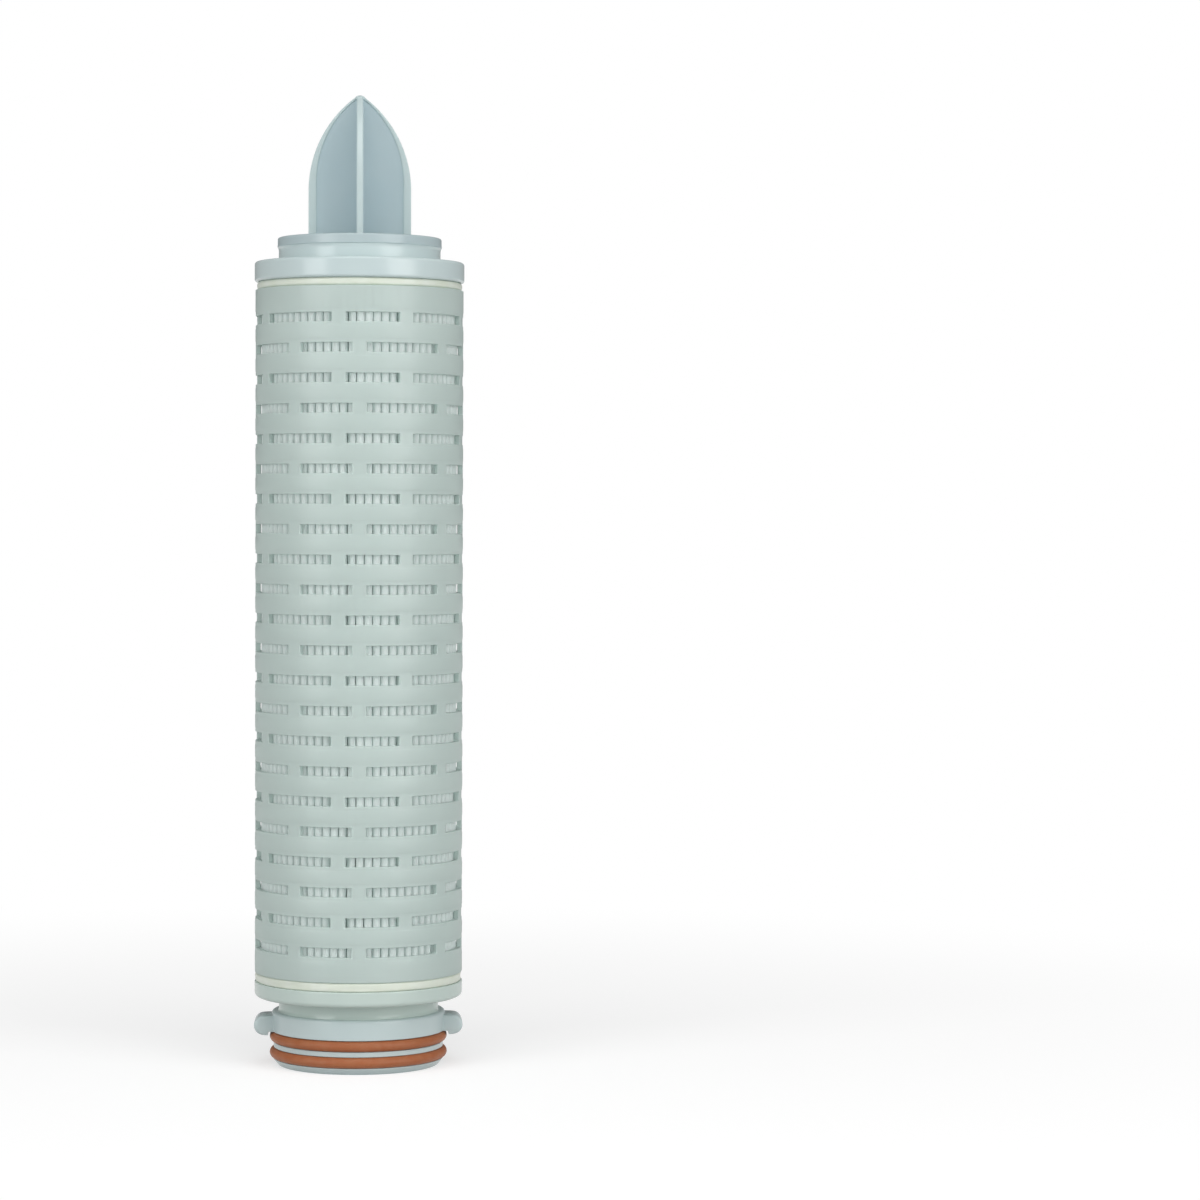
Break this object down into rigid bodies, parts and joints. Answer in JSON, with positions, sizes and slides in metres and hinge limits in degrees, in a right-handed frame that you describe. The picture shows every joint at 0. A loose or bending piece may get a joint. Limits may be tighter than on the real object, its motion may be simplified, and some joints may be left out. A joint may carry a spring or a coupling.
{
  "type": "pleated filter cartridge",
  "caption": "Pleated membrane filter cartridge in a slotted cage, with a locating fin at the top and a double O-ring bayonet spigot at the open end.",
  "frame": {"origin": "centre of the spigot's end face, at the bottom of the object", "axes": "+Z along the cartridge's axis towards the fin's tip, X through the two bayonet lugs and the fin's wide front blade"},
  "size_m": [0.0694, 0.0694, 0.3222],
  "materials": {
    "natural_polypropylene": "satin, translucent",
    "welded_polypropylene": "smooth, translucent",
    "fin_polypropylene": "smooth, translucent",
    "fused_polypropylene": "re-set melt",
    "white_fleece": "nonwoven",
    "white_membrane": "smooth sheet",
    "silicone_rubber": "satin",
    "stainless_steel": "turned"
  },
  "bodies": {
    "root": {"spigot_adapter": "welded_polypropylene", "support_ring": "stainless_steel", "lower_o_ring": "silicone_rubber", "upper_o_ring": "silicone_rubber", "bottom_end_cap": "welded_polypropylene", "bottom_weld_seal": "fused_polypropylene", "outer_cage": "natural_polypropylene", "outer_support_fleece": "white_fleece", "filter_membrane": "white_membrane", "inner_support_fleece": "white_fleece", "inner_core": "natural_polypropylene", "top_weld_seal": "fused_polypropylene", "top_end_cap": "welded_polypropylene", "locating_fin": "fin_polypropylene"}
  },
  "joints": []
}
